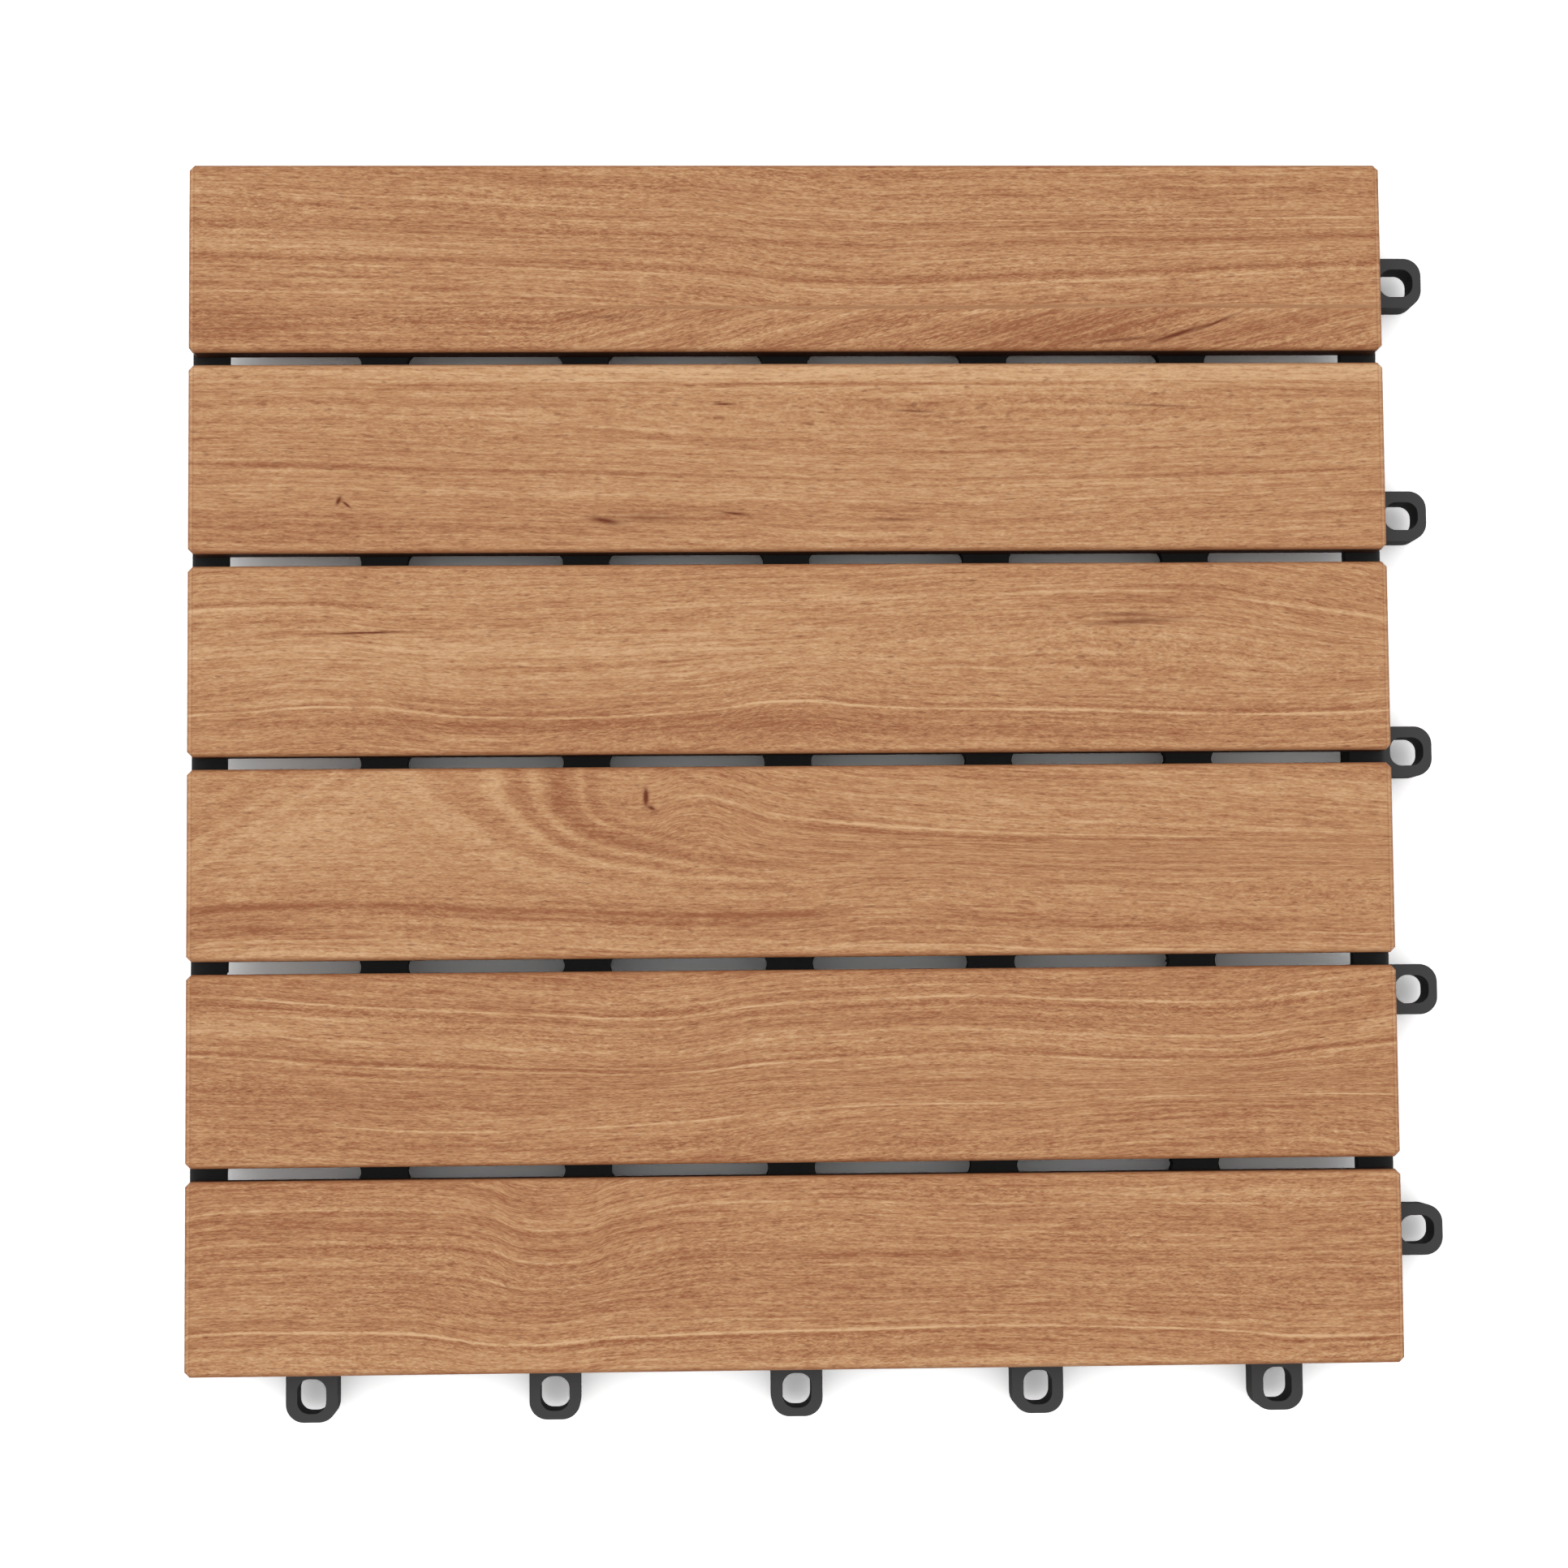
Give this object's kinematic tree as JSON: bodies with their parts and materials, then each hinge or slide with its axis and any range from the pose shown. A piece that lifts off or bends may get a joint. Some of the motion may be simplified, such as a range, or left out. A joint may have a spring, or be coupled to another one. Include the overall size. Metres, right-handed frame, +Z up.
{
  "type": "interlocking deck tile",
  "caption": "Square floor tile of oiled hardwood slats on a raised black plastic grid, with coupling eyes on two sides and pegs on the other two.",
  "frame": {"origin": "centre of the slatted deck, on the plane of the feet", "axes": "+X along the slats towards the side with eyes, +Y across the slats away from the front row of eyes, +Z up"},
  "size_m": [0.3124, 0.313, 0.024],
  "materials": {
    "base_plastic": "black moulded polypropylene, slightly grained",
    "oiled_hardwood": "planed hardwood with oil, fine straight grain",
    "stainless_steel": "bright turned stainless steel"
  },
  "bodies": {
    "root": {"base_grid": "base_plastic", "slat_1": "oiled_hardwood", "slat_1_screws": "stainless_steel", "slat_2": "oiled_hardwood", "slat_2_screws": "stainless_steel", "slat_3": "oiled_hardwood", "slat_3_screws": "stainless_steel", "slat_4": "oiled_hardwood", "slat_4_screws": "stainless_steel", "slat_5": "oiled_hardwood", "slat_5_screws": "stainless_steel", "slat_6": "oiled_hardwood", "slat_6_screws": "stainless_steel"}
  },
  "joints": []
}
